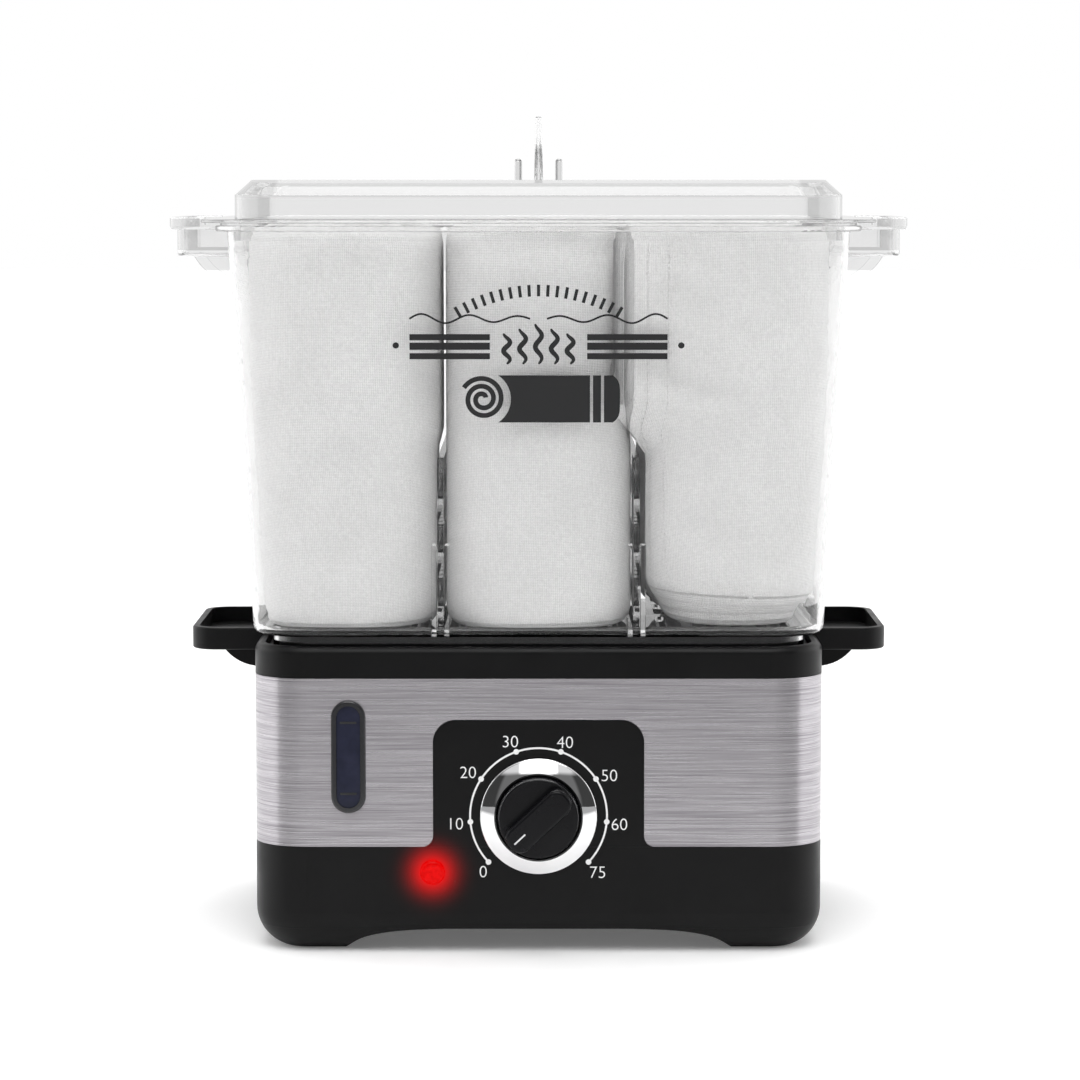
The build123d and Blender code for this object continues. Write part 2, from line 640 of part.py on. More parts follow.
def lid_fin():
    """The upright grip along the middle of the lid, thinner at its top."""
    base = Pos(0, 0, LID_TOP - 0.6) * RectangleRounded(4.3, 112, 2.1)
    top = Pos(0, 0, FIN_TOP) * RectangleRounded(3.0, 88, 1.45)
    fin = loft([base, top])
    return fillet(fin.faces().sort_by(Axis.Z)[-1].edges(), 1)


def lid_ridges():
    """A low rounded ridge on each side of the grip."""
    ridge = slab(3.3, 96, 1.6, LID_TOP - 0.6, RIDGE_TOP, x=RIDGE_X)
    return on_both_sides(fillet(ridge.faces().sort_by(Axis.Z)[-1].edges(), 1.3))


def lid():
    """The clear lid: a skirt inside the mouth, a flange over the rim and the cap."""
    cap = dome(0, LID_SKIRT)
    low, high = LID_FLANGE_Z
    out = LID_FLANGE_OUT
    flange = slab(LID_W + 2 * out, LID_D + 2 * out, LID_R + out, low, high)
    flange = fillet(flange.edges().filter_by(Plane.XY), 0.6)
    seat = slab(LID_W + 14, LID_D + 14, LID_R + 7, LID_SEAT, low + 0.2)
    return cap + flange + seat - dome(LID_T, LID_SKIRT - 1) + lid_fin() + lid_ridges()


# ---------------------------------------------------------------- towels
def towel(low_x, high_x):
    """A rolled towel standing on end, as a plain oval block near the front of its bay."""
    low, high = TOWEL_Z
    ends = []
    for z in (low, high):
        width, depth, _ = chamber_size(z)
        front = min(depth / 2 - CLEAR - TOWEL_FRONT, TOWEL_REACH)
        reach = min(width / 2 - CLEAR - TOWEL_SIDE, TOWEL_HALF)
        left, right = max(low_x, -reach), min(high_x, reach)
        plan = RectangleRounded(right - left, front + TOWEL_BACK, 34)
        ends.append(Pos((left + right) / 2, (TOWEL_BACK - front) / 2, z) * plan)
    roll = loft(ends)
    roll = fillet(roll.faces().sort_by(Axis.Z)[0].edges(), 9)
    return fillet(roll.faces().sort_by(Axis.Z)[-1].edges(), 9)


def main():
    os.makedirs("parts", exist_ok=True)
    side = DIVIDER_X + DIVIDER_T / 2 + 0.7
    between = DIVIDER_X - DIVIDER_T / 2 - 0.7
    feet, pan, frame = base_mouldings()
    shapes = {
        "moulded_feet": feet,
        "base_housing": pan,
        "upper_housing": frame,
        "bottom_cover": bottom_cover(),
        "bottom_screws": bottom_screws(),
        "foot_pads": foot_pads(),
        "steel_band": steel_band(),
        "gauge_bezel": gauge_bezel(),
        "gauge_lens": gauge_lens(),
        "level_marks": level_marks(),
        "level_tube": level_tube(),
        "water_tub": water_tub(),
        "heater_gasket": heater_gasket(),
        "heater_plate": heater_plate(),
        "heating_element": heating_element(),
        "heater_clamp": heater_clamp(),
        "heater_screws": heater_screws(),
        "thermostat": thermostat(),
        "thermal_fuse": thermal_fuse(),
        "timer_body": timer_body(),
        "timer_nut": timer_nut(),
        "timer_bell": timer_bell(),
        "timer_shaft": timer_shaft(),
        "timer_knob": timer_knob(),
        "knob_pointer": knob_pointer(),
        "knob_ring": knob_ring(),
        "dial_scale": dial_scale(),
        "lamp_lens": lamp_lens(),
        "lamp_holder": lamp_holder(),
        "terminal_block": terminal_block(),
        "inner_wires": inner_wires(),
        "cord_gland": cord_gland(),
        "drip_tray": drip_tray(),
        "chamber": chamber(),
        "divider_left": divider(-DIVIDER_X),
        "divider_right": divider(DIVIDER_X),
        "lid": lid(),
        "towel_left": towel(-200, -side),
        "towel_middle": towel(-between, between),
        "towel_right": towel(side, 200),
    }
    for name, shape in shapes.items():
        save(shape, name)


main()
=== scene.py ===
import json
import math

import bmesh
import bpy
import numpy as np
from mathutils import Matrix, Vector


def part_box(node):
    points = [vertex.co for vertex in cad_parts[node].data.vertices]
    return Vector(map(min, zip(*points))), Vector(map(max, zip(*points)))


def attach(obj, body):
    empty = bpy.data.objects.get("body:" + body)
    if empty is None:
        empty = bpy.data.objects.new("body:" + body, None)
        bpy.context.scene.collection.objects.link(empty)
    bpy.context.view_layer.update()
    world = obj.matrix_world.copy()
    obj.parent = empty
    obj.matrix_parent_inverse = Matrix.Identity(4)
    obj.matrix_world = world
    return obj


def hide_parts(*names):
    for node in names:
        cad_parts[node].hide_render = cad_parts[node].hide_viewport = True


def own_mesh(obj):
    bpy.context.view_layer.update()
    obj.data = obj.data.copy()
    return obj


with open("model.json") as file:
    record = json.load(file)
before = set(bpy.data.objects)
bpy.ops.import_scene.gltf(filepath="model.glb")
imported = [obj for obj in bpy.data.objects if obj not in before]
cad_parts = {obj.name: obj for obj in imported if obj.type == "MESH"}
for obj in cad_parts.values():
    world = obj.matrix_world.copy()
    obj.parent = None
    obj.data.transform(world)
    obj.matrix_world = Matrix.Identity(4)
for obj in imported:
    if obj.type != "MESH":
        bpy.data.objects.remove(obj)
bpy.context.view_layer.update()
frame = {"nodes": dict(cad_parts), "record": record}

# Looks for a bench-top hot towel steamer. Metres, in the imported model's frame:
# the front faces -Y and the base stands on z = 0.

MM = 0.001
NODES = frame["nodes"]
TAU = 2 * math.pi

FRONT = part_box("steel_band")[0].y  # outer face of the panel and the band
RING_LOW, RING_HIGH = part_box("knob_ring")
KNOB_Z = (RING_LOW.z + RING_HIGH.z) / 2
LAMP_LOW, LAMP_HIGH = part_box("lamp_lens")
LAMP_X, LAMP_Z = (LAMP_LOW.x + LAMP_HIGH.x) / 2, (LAMP_LOW.z + LAMP_HIGH.z) / 2
PAINTED_GLOW_REACH = 8.5 * MM  # reach of the red lamp glow painted round the lamp

# The tapered chamber: height, outer width and outer depth at its foot and its mouth
CHAMBER_Z, CHAMBER_W, CHAMBER_D = (0.1530, 0.3468), (0.276, 0.298), (0.206, 0.228)
CHAMBER_WALL = 2.6 * MM
PLATE_TOP = 0.2397  # top of the dividers


def chamber_half(z):
    """Outer half width and half depth of the chamber at height z (numbers or arrays)."""
    t = (z - CHAMBER_Z[0]) / (CHAMBER_Z[1] - CHAMBER_Z[0])
    width = CHAMBER_W[0] + (CHAMBER_W[1] - CHAMBER_W[0]) * t
    depth = CHAMBER_D[0] + (CHAMBER_D[1] - CHAMBER_D[0]) * t
    return width / 2, depth / 2


# ---------------------------------------------------------------- material nodes
class Nodes:
    """Short calls for the nodes of a material or of the world."""

    def __init__(self, holder):
        holder.use_nodes = True
        self.tree = holder.node_tree
        self.tree.nodes.clear()

    def node(self, kind, inputs=None, **settings):
        made = self.tree.nodes.new("ShaderNode" + kind)
        for key, value in settings.items():
            setattr(made, key, value)
        for key, value in (inputs or {}).items():
            if isinstance(value, bpy.types.NodeSocket):
                self.tree.links.new(value, made.inputs[key])
            else:
                made.inputs[key].default_value = value
        return made

    def math(self, operation, a, b=0.0):
        return self.node("Math", {0: a, 1: b}, operation=operation).outputs[0]


class Look(Nodes):
    """A procedural material."""

    def __init__(self, name):
        self.material = bpy.data.materials.new(name)
        super().__init__(self.material)
        self.place = self.node("TexCoord").outputs["Object"]

    def noise(self, scale, detail=2.0, stretch=None):
        vector = self.place
        if stretch:
            vector = self.node("Mapping", {"Vector": vector, "Scale": stretch}).outputs[0]
        made = self.node("TexNoise", {"Vector": vector, "Scale": scale, "Detail": detail})
        return made.outputs[0]

    def between(self, value, low, high, start=0.3, end=0.7):
        """Maps value, between start and end, to low and high."""
        made = self.node(
            "MapRange",
            {"Value": value, "From Min": start, "From Max": end, "To Min": low, "To Max": high},
        )
        return made.outputs[0]

    def tint(self, value, dark, light):
        made = self.node("Mix", {0: value, 6: (*dark, 1), 7: (*light, 1)}, data_type="RGBA")
        return made.outputs[2]

    def bump(self, height, distance, strength):
        made = self.node("Bump", {"Height": height, "Distance": distance, "Strength": strength})
        return made.outputs[0]

    def painted_lamp_glow(self, strength):
        """Painted lamp glow: red emission on the front round the lamp, fading with distance."""
        split = self.node("SeparateXYZ", {0: self.place})
        away = 0.0
        for axis, centre in ((0, LAMP_X), (2, LAMP_Z)):
            off = self.math("SUBTRACT", split.outputs[axis], centre)
            away = self.math("ADD", away, self.math("MULTIPLY", off, off))
        fade = self.math("EXPONENT", self.math("MULTIPLY", away, -1 / PAINTED_GLOW_REACH**2))
        front = self.math("LESS_THAN", split.outputs[1], FRONT + 3 * MM)
        return self.math("MULTIPLY", self.math("MULTIPLY", fade, strength), front)

    def surface(self, inputs):
        return self.node("BsdfPrincipled", inputs)

    def done(self, shader):
        self.node("OutputMaterial", {"Surface": shader.outputs[0]})
        return self.material


def lighter(colour, factor):
    return tuple(min(1.0, c * factor) for c in colour)


def moulded(name, colour, rough, grain=0.35, coat=0.0, gloss=0.5, glow=0.0):
    """Moulded plastic or rubber: a fine spark grain, and a slightly uneven sheen; with glow, a
    painted red lamp glow round the lamp.
    """
    look = Look(name)
    broad = look.noise(34, 3)
    # painted lamp glow: red emission round the lamp, only where glow is given
    lamp = look.painted_lamp_glow(glow) if glow else 0.0
    return look.done(
        look.surface(
            {
                "Base Color": look.tint(
                    look.between(broad, 0, 1), lighter(colour, 0.86), lighter(colour, 1.14)
                ),
                "Roughness": look.between(look.noise(75, 4), rough - 0.05, rough + 0.06),
                "Specular IOR Level": gloss,
                "Coat Weight": coat,
                "Coat Roughness": 0.08,
                "Normal": look.bump(look.noise(2600, 2), 0.00008, grain),
                "Emission Color": (1.0, 0.0, 0.0, 1.0),
                "Emission Strength": lamp,
            }
        )
    )


def metal(name, colour, rough, stretch=(1, 1, 1), grain=600, depth=0.00004, spread=0.08):
    """Plain, cast or drawn metal, with its grain stretched along the drawing."""
    look = Look(name)
    streaks = look.noise(grain, 3, stretch)
    broad = look.noise(26, 3)
    return look.done(
        look.surface(
            {
                "Base Color": look.tint(
                    look.between(broad, 0, 1), lighter(colour, 0.88), lighter(colour, 1.08)
                ),
                "Metallic": 1.0,
                "Roughness": look.between(streaks, max(0.02, rough - spread), rough + spread),
                "Normal": look.bump(streaks, depth, 0.4),
            }
        )
    )


def brushed_steel():
    """Sheet brushed along the band: streaks run round the base, gloss spreads upright."""
    look = Look("brushed_steel")
    fine = look.noise(1.0, 3, (26, 26, 2500))
    coarse = look.noise(1.0, 2, (8, 8, 640))
    fine_share, coarse_share = (
        look.math("MULTIPLY", pattern, share) for pattern, share in ((fine, 0.75), (coarse, 0.25))
    )
    streak = look.math("ADD", fine_share, coarse_share)
    dark, light = (0.29, 0.275, 0.295), (0.54, 0.52, 0.545)
    tangent = look.node("Tangent", direction_type="RADIAL", axis="Z").outputs[0]
    return look.done(
        look.surface(
            {
                "Base Color": look.tint(look.between(streak, 0, 1, 0.36, 0.64), dark, light),
                "Metallic": 1.0,
                "Roughness": look.between(streak, 0.34, 0.24),
                "Anisotropic": 0.92,
                "Anisotropic Rotation": 0.25,
                "Tangent": tangent,
                "Normal": look.bump(fine, 0.00003, 0.35),
                # painted lamp glow: red emission on the band round the lamp
                "Emission Color": (1.0, 0.10, 0.10, 1.0),
                "Emission Strength": look.painted_lamp_glow(0.30),
            }
        )
    )


def clear_plastic(name="clear_plastic", clear=0.99):
    """Crystal-clear moulded plastic, which lets the studio light through to the rolls.

    Light that has once been mirrored inside a wall leaves it dimmed at its next face, so that
    the walls' edges are thin grey lines."""
    look = Look(name)
    glass = look.surface(
        {
            "Base Color": (clear, clear, clear, 1),
            "Roughness": look.between(look.noise(60, 3), 0.0, 0.02),
            "IOR": 1.45,
            "Transmission Weight": 1.0,
        }
    )
    opened = look.node("BsdfTransparent", {"Color": (0.985, 0.985, 0.985, 1)})
    dimmed = look.node("BsdfTransparent", {"Color": (0.82, 0.82, 0.82, 1)})
    path, mixed = look.node("LightPath").outputs, glass
    ways = {"Is Reflection Ray": dimmed, "Is Shadow Ray": opened, "Is Diffuse Ray": opened}
    for kind, way in ways.items():
        mixed = look.node("MixShader", {0: path[kind], 1: mixed.outputs[0], 2: way.outputs[0]})
    return look.done(mixed)


def smoked_lens():
    look = Look("smoked_lens")
    haze = look.noise(180, 3)
    return look.done(
        look.surface(
            {
                "Base Color": look.tint(
                    look.between(haze, 0, 1), (0.012, 0.014, 0.030), (0.018, 0.020, 0.042)
                ),
                "Roughness": look.between(haze, 0.10, 0.2),
                "Specular IOR Level": 0.25,
            }
        )
    )


def lit_lens():
    """The lamp's red lens, lit from behind and brighter over the lamp."""
    look = Look("lit_lens")
    glow = look.between(look.noise(420, 2), 0, 1)
    return look.done(
        look.surface(
            {
                "Base Color": look.tint(glow, (0.20, 0.0, 0.0), (0.3, 0.002, 0.002)),
                "Roughness": 0.12,
                "Specular IOR Level": 0.06,
                "Emission Color": look.tint(glow, (0.9, 0.0, 0.0), (1.0, 0.004, 0.004)),
                "Emission Strength": 0.56,
            }
        )
    )


def printed(name, colour, rough):
    """Screen-printed ink: even colour with a slightly rough, grainy edge to its gloss."""
    look = Look(name)
    grain = look.noise(3200, 2)
    return look.done(
        look.surface(
            {
                "Base Color": look.tint(
                    look.between(grain, 0, 1), lighter(colour, 0.93), lighter(colour, 1.04)
                ),
                "Roughness": rough,
                "Normal": look.bump(grain, 0.00002, 0.3),
            }
        )
    )


def terry():
    """White cotton: a fine woven grid, from the cloth's own UV in metres, under short pile, with
    painted shade in its low places.
    """
    look = Look("white_terry")
    cloth = look.node("UVMap", uv_map="cloth").outputs[0]
    split = look.node("SeparateXYZ", {0: cloth})
    pitch = TAU / (0.78 * MM)
    warp = look.math("SINE", look.math("MULTIPLY", split.outputs[0], pitch))
    weft = look.math("SINE", look.math("MULTIPLY", split.outputs[1], pitch))
    grid = look.math("MULTIPLY", look.math("ADD", warp, weft), 0.25)
    pile = look.noise(1900, 3)
    tufts = look.noise(620, 2)
    height = look.math("ADD", grid, look.math("MULTIPLY", pile, 0.6))
    height = look.math("ADD", height, look.math("MULTIPLY", tufts, 0.9))
    broad = look.noise(42, 4)
    colour = look.tint(look.between(broad, 0, 1), (0.915, 0.912, 0.908), (0.955, 0.952, 0.948))
    # painted shade: darker where the weave and pile are low
    painted_pile_shade = look.tint(look.between(height, 0, 1, 0.4, 1.1), (0.80, 0.80, 0.80), (1, 1, 1))
    product = look.node(
        "Mix", {0: 1.0, 6: colour, 7: painted_pile_shade}, data_type="RGBA", blend_type="MULTIPLY"
    )
    return look.done(
        look.surface(
            {
                "Base Color": product.outputs[2],
                "Roughness": 0.95,
                "Specular IOR Level": 0.2,
                "Sheen Weight": 0.25,
                "Sheen Roughness": 0.5,
                "Normal": look.bump(height, 0.00045, 0.8),
            }
        )
    )


BLACK = (0.0040, 0.0040, 0.0042)
LOOKS = {
    "black_plastic": moulded("black_moulding", BLACK, 0.38, gloss=0.18),
    "knob_plastic": moulded("knob_moulding", (0.004, 0.004, 0.0050), 0.24, grain=0.2, gloss=0.2),
    "brushed_band": brushed_steel(),
    "gauge_frame": moulded("gloss_frame", (0.010, 0.010, 0.012), 0.16, grain=0.08, coat=0.4),
    "smoked_lens": smoked_lens(),
    "print_dark": printed("dark_print", (0.012, 0.012, 0.013), 0.6),
    "print_white": printed("white_print", (0.84, 0.84, 0.84), 0.5),
    "sight_tube": moulded("sight_tube", (0.62, 0.66, 0.66), 0.12, grain=0.05),
    "grey_tub": moulded("grey_tub", (0.22, 0.225, 0.23), 0.36),
    "silicone": moulded("silicone", (0.62, 0.62, 0.60), 0.48, grain=0.15),
    "cast_plate": metal("cast_plate", (0.66, 0.66, 0.67), 0.42, grain=900, depth=0.00010),
    "element_steel": metal("element_steel", (0.34, 0.33, 0.32), 0.36, spread=0.1),
    "zinc_steel": metal("zinc_steel", (0.64, 0.66, 0.68), 0.3, grain=380),
    "phenolic": moulded("phenolic", (0.045, 0.038, 0.034), 0.45),
    "nylon": moulded("nylon", (0.74, 0.73, 0.68), 0.42, grain=0.2),
    "timer_case": metal("timer_case", (0.62, 0.62, 0.60), 0.34, (1, 1, 12), 260),
    "brass": metal("brass", (0.72, 0.53, 0.26), 0.26, (1, 30, 1), 200),
    "chrome_ring": metal("chrome", (0.93, 0.93, 0.94), 0.03, grain=90, depth=0.0, spread=0.01),
    "lamp_red": lit_lens(),
    "wire_cover": moulded("wire_cover", (0.42, 0.08, 0.06), 0.42, grain=0.1),
    "black_rubber": moulded("black_rubber", (0.020, 0.020, 0.021), 0.62, grain=0.6),
    "clear_plastic": clear_plastic(),
    "towel_cloth": terry(),
}


def dress(piece, material):
    """Gives a piece one material over all its faces."""
    if piece.material_slots:
        for place in piece.material_slots:
            place.material = material
    else:
        piece.data.materials.append(material)


for part in frame["record"]["subparts"]:
    if part["material_slot"] != "towel_cloth":
        dress(NODES[part["node"]], LOOKS[part["material_slot"]])
# Painted shade: the dividers' clear plastic is darkened so that they look dark where seen edge-on
painted_dark_dividers = clear_plastic("divider_plastic_painted_shade", 0.42)
for name in ("divider_left", "divider_right"):
    dress(NODES[name], painted_dark_dividers)
# The housings' black moulding, with the lamp's red glow painted round the lamp as emission
painted_glow_moulding = moulded("black_moulding_painted_lamp_glow", BLACK, 0.38, gloss=0.18, glow=1.2)
for name in ("base_housing", "upper_housing"):
    dress(NODES[name], painted_glow_moulding)


# ---------------------------------------------------------------- mesh helpers
def new_piece(name, mesh, body, slot):
    piece = bpy.data.objects.new(name, mesh)
    bpy.context.scene.collection.objects.link(piece)
    dress(piece, LOOKS[slot])
    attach(piece, body)
    return piece


def mesh_from(name, points, faces, smooth=True):
    mesh = bpy.data.meshes.new(name)
    mesh.from_pydata([tuple(p) for p in points], [], faces)
    mesh.validate()
    mesh.polygons.foreach_set("use_smooth", [smooth] * len(mesh.polygons))
    mesh.update()
    return mesh


def smoothstep(value, low, high):
    t = np.clip((value - low) / (high - low), 0, 1)
    return t * t * (3 - 2 * t)


# ---------------------------------------------------------------- dial numbers
NUMBER_HEIGHT, INK = 5.6 * MM, 0.12 * MM
NUMBERS = [  # text, distance from the knob's axis, angle from +X
    ("0", 38.0, 225.5), ("10", 39.6, 185.5), ("20", 39.9, 148.0), ("30", 38.5, 110.5),
    ("40", 37.9, 70.5), ("50", 39.3, 30.0), ("60", 39.1, 354.0), ("75", 39.5, 316.0),
]


def dial_numbers():
    """The numbers round the dial, printed flat on the panel."""
    points, faces = [], []
    for text, distance, angle in NUMBERS:
        curve = bpy.data.curves.new("number", "FONT")
        curve.body, curve.size, curve.extrude = text, 1.0, 0.05
        curve.align_x, curve.resolution_u, curve.offset = "LEFT", 6, -0.012
        holder = bpy.data.objects.new("number", curve)
        flat = bpy.data.meshes.new_from_object(holder)
        bpy.data.objects.remove(holder)
        co = np.array([v.co for v in flat.vertices], float)
        low, high = co.min(0), co.max(0)
        scale = NUMBER_HEIGHT / (high[1] - low[1])
        co = (co - (low + high) / 2) * scale
        turn = math.radians(angle)
        x = co[:, 0] + distance * MM * math.cos(turn)
        z = co[:, 1] + distance * MM * math.sin(turn) + KNOB_Z
        y = np.where(co[:, 2] > 0, FRONT - INK, FRONT)
        faces += [[len(points) + i for i in p.vertices] for p in flat.polygons]
        points += list(np.stack([x, y, z], 1))
        bpy.data.meshes.remove(flat)
    mesh = mesh_from("dial_numbers", points, faces, smooth=False)
    return new_piece("dial_numbers", mesh, "base", "print_white")


dial_numbers()


# ---------------------------------------------------------------- front emblem
class Emblem:
    """Flat printed shapes on the chamber's front wall, drawn in millimetres of x and z."""

    def __init__(self):
        self.points, self.faces = [], []

    def strip(self, left, right):
        """A filled strip between two edges with the same number of points."""
        start, n = len(self.points), len(left)
        for lift in (0.03 * MM, 0.03 * MM + INK):
            for edge in (left, right):
                for x, z in edge:
                    height = z * MM
                    self.points.append((x * MM, -chamber_half(height)[1] - lift, height))
        low_left, low_right, top_left, top_right = (start + k * n for k in range(4))
        for i in range(n - 1):
            self.faces.append([top_left + i, top_left + i + 1, top_right + i + 1, top_right + i])
            self.faces.append([low_left + i, low_right + i, low_right + i + 1, low_left + i + 1])
            self.faces.append([low_left + i, low_left + i + 1, top_left + i + 1, top_left + i])
            self.faces.append([low_right + i, top_right + i, top_right + i + 1, low_right + i + 1])
        for i in (0, n - 1):
            self.faces.append([low_left + i, top_left + i, top_right + i, low_right + i])

    def stroke(self, path, width):
        """A line along a path; width is one number or one for each point."""
        path = np.array(path, float)
        run = np.gradient(path, axis=0)
        run /= np.linalg.norm(run, axis=1)[:, None]
        side = np.stack([-run[:, 1], run[:, 0]], 1) * (np.ones(len(path)) * width)[:, None] / 2
        self.strip(path + side, path - side)

    def dot(self, x, z, radius):
        rise = np.linspace(-1, 1, 15)
        half = np.sqrt(1 - rise**2 * 0.998)
        left = np.stack([x - radius * half, z + radius * rise], 1)
        right = np.stack([x + radius * half, z + radius * rise], 1)
        self.strip(left, right)


def front_emblem():
    """A plain pictogram: a rolled towel, steam over it between bold rules, and an arch of rays."""
    emblem = Emblem()
    roll_x, roll_z, roll_r = -26.5, 267.9, 11.6
    turns = np.linspace(0, 2.35 * TAU, 150)
    radius = 1.7 + (roll_r - 3.0) * turns / turns[-1]
    angle = turns + 0.4
    spiral = [roll_x + radius * np.cos(angle), roll_z + radius * np.sin(angle)]
    emblem.stroke(np.stack(spiral, 1), 2.3)
    rise = np.linspace(-1, 1, 33)
    rows = roll_z + (roll_r - 0.4) * rise
    near = roll_x + np.sqrt((roll_r + 1.8) ** 2 - (rows - roll_z) ** 2)
    for start, end in ((None, 24.4), (25.8, 29.6), (31.0, 38.6)):
        low = near if start is None else np.full(33, start)
        high = np.full(33, end) if end < 38 else end - 3.4 * np.abs(rise) ** 5
        emblem.strip(np.stack([low, rows], 1), np.stack([high, rows], 1))
    climb = np.linspace(0, 1, 60)
    taper = 0.7 + 1.7 * np.sin(math.pi * climb) ** 0.6
    for x in (-15.0, -7.5, 0.0, 7.5, 15.0):
        tall = 19.0 - 0.3 * abs(x)
        wave = np.stack([x + 1.5 * np.sin(climb * TAU * 1.75), 284.5 + tall * climb], 1)
        emblem.stroke(wave, taper)
    for side in (-1, 1):
        for z, wide in ((297.2, 2.9), (292.9, 3.4), (288.2, 2.9)):
            emblem.stroke([(side * x, z) for x in np.linspace(23, 61, 24)], np.full(24, wide))
        emblem.dot(side * 67.5, 293.3, 1.5)
        curl = np.linspace(0, 1, 60)
        x = side * (4 + 57 * curl)
        emblem.stroke(
            np.stack([x, 305.9 + 2.4 * np.sin(curl * 2.5 * TAU) * (0.5 + curl / 2)], 1), 0.9
        )
    for angle in np.radians(np.linspace(60, 120, 19)):
        along = np.linspace(73.5, 79.0, 6)
        ray = np.stack([along * math.cos(angle), 243 + along * math.sin(angle)], 1)
        emblem.stroke(ray, 1.5)
    mesh = mesh_from("front_emblem", emblem.points, emblem.faces, smooth=False)
    return new_piece("front_emblem", mesh, "chamber", "print_dark")


front_emblem()


# ---------------------------------------------------------------- rolled towels
LAYER, LAYER_GAP = 4.2 * MM, 0.4 * MM  # one layer of pile cloth, and between the two
HALF = LAYER + LAYER_GAP / 2  # half the thickness of the folded cloth
PITCH = 2 * HALF + 0.8 * MM  # from turn to turn
ROLL_HALF, ROLL_STRAIGHT = 45.0 * MM, 26.0 * MM  # outline: half width, and half its straight
CLOTH_LENGTH, CLOTH_WIDTH = 1.0, 0.40
FOLDED = 194.0 * MM  # height of the folded cloth
ROLL_BACK = 40.0 * MM  # rear of the rolls
END_ROUND = 9.0 * MM
SQUARE = 2.7  # how squarely the rolls fill their bays: 2 would leave their ends round
LEAN_RISE = 0.2520  # an outer roll has leant in fully this high, from PLATE_TOP
FLAP_FREE = 0.2405, 0.2665  # the loose flap straightens between these heights
REACH_X, REACH_Y = 0.1412, 0.1040  # no roll goes past these, inside the chamber's walls


def capsule(q, w):
    """Points and outward directions round a straight-sided oval, q from 0 to 4 once round.

    0 to 1 runs up the right side, 1 to 2 round the rear, 2 to 3 down the left, 3 to 4 round
    the front."""
    side, along = np.floor(q) % 4, q - np.floor(q)
    turn = np.select(
        [side == 0, side == 1, side == 2], [0 * along, math.pi * along, math.pi + 0 * along],
        math.pi + math.pi * along,
    )
    middle = np.select(
        [side == 0, side == 1, side == 2], [2 * along - 1, 1 + 0 * along, 1 - 2 * along], -1.0
    )
    nx, ny = np.cos(turn), np.sin(turn)
    return w * nx, middle * ROLL_STRAIGHT + w * ny, nx, ny


def waves(x, y, z, seed, scales, strength):
    """A smooth field of small pushes, the sum of a few seeded sine waves."""
    rng = np.random.default_rng(seed)
    total = 0 * x
    for scale in scales:
        for _ in range(4):
            direction = rng.normal(size=3)
            direction *= TAU / (scale * np.linalg.norm(direction))
            phase = rng.uniform(0, TAU)
            total = total + np.sin(direction[0] * x + direction[1] * y + direction[2] * z + phase)
    return total * strength / (4 * len(scales)) ** 0.5


